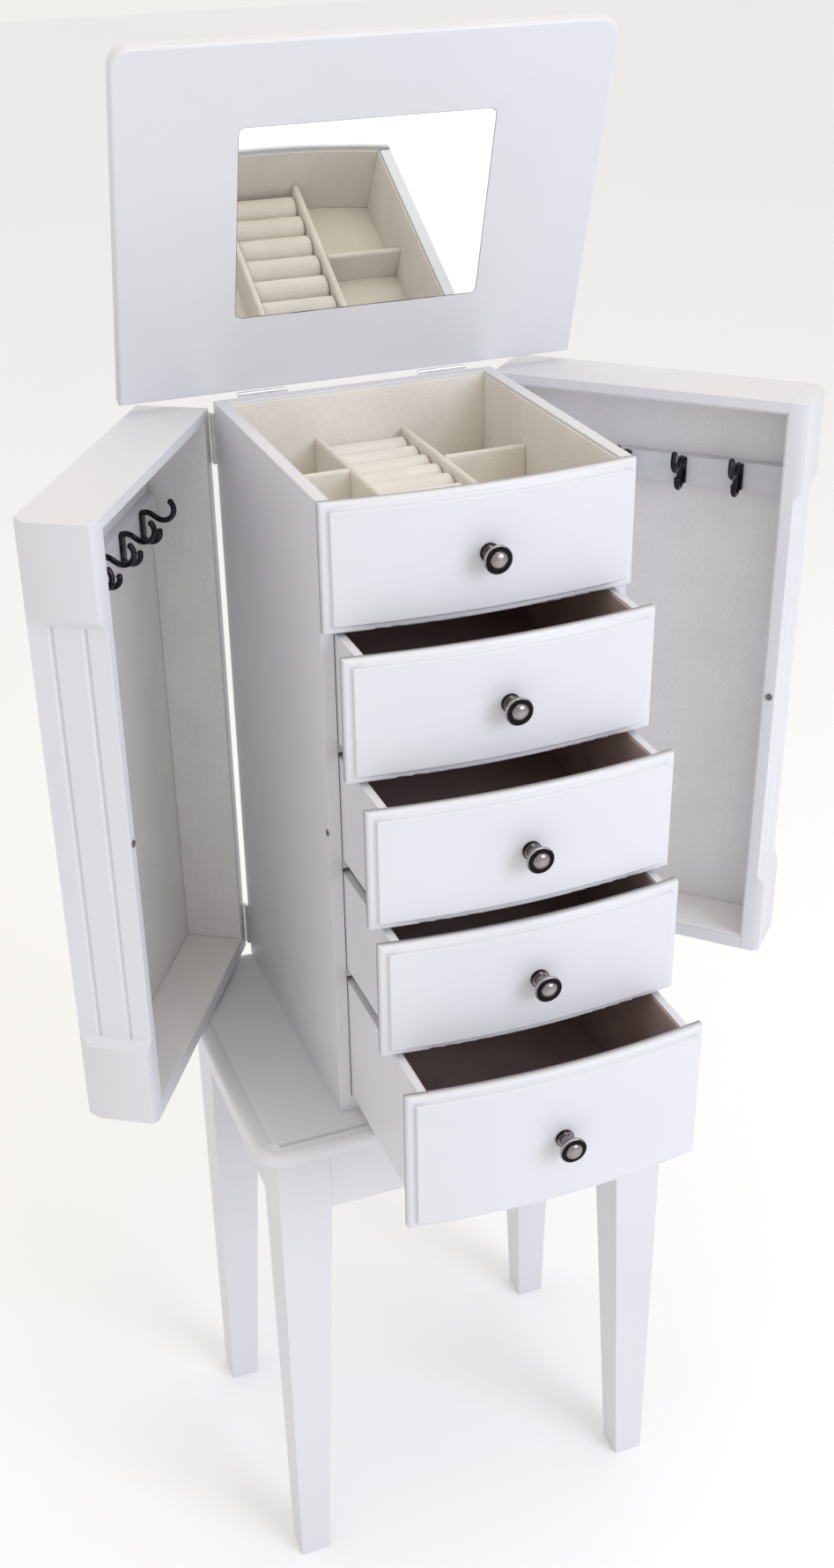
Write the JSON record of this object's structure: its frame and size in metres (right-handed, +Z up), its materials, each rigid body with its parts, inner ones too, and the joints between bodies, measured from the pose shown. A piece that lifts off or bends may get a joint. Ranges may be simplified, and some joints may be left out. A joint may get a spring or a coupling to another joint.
{
  "type": "jewelry armoire",
  "caption": "White jewelry armoire on tapered legs, bowed drawers partly open, two side doors with hook rails swung out, and a mirrored lid raised over a velvet tray.",
  "frame": {"origin": "floor level, under the centre of the armoire's outline as stored (lid, doors and drawers part open)", "axes": "+Z up, -Y is the front with the drawer knobs, +X to the viewer's right when facing the front"},
  "size_m": [0.6407, 0.4745, 1.2632],
  "materials": {
    "painted_wood": "satin white paint",
    "ivory_velvet": "short-pile velvet",
    "brown_velvet": "short-pile velvet",
    "grey_felt": "felt",
    "knob_metal": "black nickel, polished",
    "hook_metal": "gunmetal, polished",
    "plated_steel": "plated",
    "hinge_metal": "nickel plated",
    "mirror_glass": "silvered glass"
  },
  "bodies": {
    "armoire": {"leg_front_left": "painted_wood", "leg_front_right": "painted_wood", "leg_back_left": "painted_wood", "leg_back_right": "painted_wood", "apron_front": "painted_wood", "apron_back": "painted_wood", "apron_left": "painted_wood", "apron_right": "painted_wood", "base_board": "painted_wood", "side_left": "painted_wood", "side_right": "painted_wood", "back_panel": "painted_wood", "case_floor": "painted_wood", "web_1": "painted_wood", "web_2": "painted_wood", "web_3": "painted_wood", "false_front": "painted_wood", "false_front_knob": "knob_metal", "strike_plates": "plated_steel", "door_hinges": "hinge_metal", "lid_hinges": "hinge_metal", "tray_floor": "painted_wood", "tray_lining": "ivory_velvet", "tray_divider_left": "ivory_velvet", "tray_divider_right": "ivory_velvet", "tray_cross_left": "ivory_velvet", "tray_cross_right": "ivory_velvet", "ring_rolls": "ivory_velvet"},
    "drawer_1": {"drawer_1_front": "painted_wood", "drawer_1_box": "painted_wood", "drawer_1_lining": "brown_velvet", "drawer_1_knob": "knob_metal"},
    "drawer_2": {"drawer_2_front": "painted_wood", "drawer_2_box": "painted_wood", "drawer_2_lining": "brown_velvet", "drawer_2_knob": "knob_metal"},
    "drawer_3": {"drawer_3_front": "painted_wood", "drawer_3_box": "painted_wood", "drawer_3_lining": "brown_velvet", "drawer_3_knob": "knob_metal"},
    "drawer_4": {"drawer_4_front": "painted_wood", "drawer_4_box": "painted_wood", "drawer_4_lining": "brown_velvet", "drawer_4_knob": "knob_metal"},
    "door_left": {"door_left_frame": "painted_wood", "door_left_panel": "painted_wood", "door_left_pilaster": "painted_wood", "door_left_lining": "grey_felt", "door_left_rail": "painted_wood", "door_left_hooks": "hook_metal", "door_left_magnet": "plated_steel"},
    "door_right": {"door_right_frame": "painted_wood", "door_right_panel": "painted_wood", "door_right_pilaster": "painted_wood", "door_right_lining": "grey_felt", "door_right_rail": "painted_wood", "door_right_hooks": "hook_metal", "door_right_magnet": "plated_steel"},
    "lid": {"lid_panel": "painted_wood", "mirror": "mirror_glass"}
  },
  "joints": [
    {"name": "drawer_1_slide", "type": "slide", "parent": "armoire", "child": "drawer_1", "axis": [0, -1, 0], "range_m": [-0.038, 0.127]},
    {"name": "drawer_2_slide", "type": "slide", "parent": "armoire", "child": "drawer_2", "axis": [0, -1, 0], "range_m": [-0.077, 0.088]},
    {"name": "drawer_3_slide", "type": "slide", "parent": "armoire", "child": "drawer_3", "axis": [0, -1, 0], "range_m": [-0.095, 0.07]},
    {"name": "drawer_4_slide", "type": "slide", "parent": "armoire", "child": "drawer_4", "axis": [0, -1, 0], "range_m": [-0.143, 0.022]},
    {"name": "door_left_hinge", "type": "hinge", "parent": "armoire", "child": "door_left", "pos_m": [-0.1348, 0.197, 0.746], "axis": [0, 0, -1], "range_deg": [-32.2, 67.8]},
    {"name": "door_right_hinge", "type": "hinge", "parent": "armoire", "child": "door_right", "pos_m": [0.1002, 0.197, 0.746], "axis": [0, 0, 1], "range_deg": [-44.4, 55.6]},
    {"name": "lid_hinge", "type": "hinge", "parent": "armoire", "child": "lid", "pos_m": [-0.0173, 0.1981, 1.001], "axis": [-1, 0, 0], "range_deg": [-74, 24]}
  ]
}
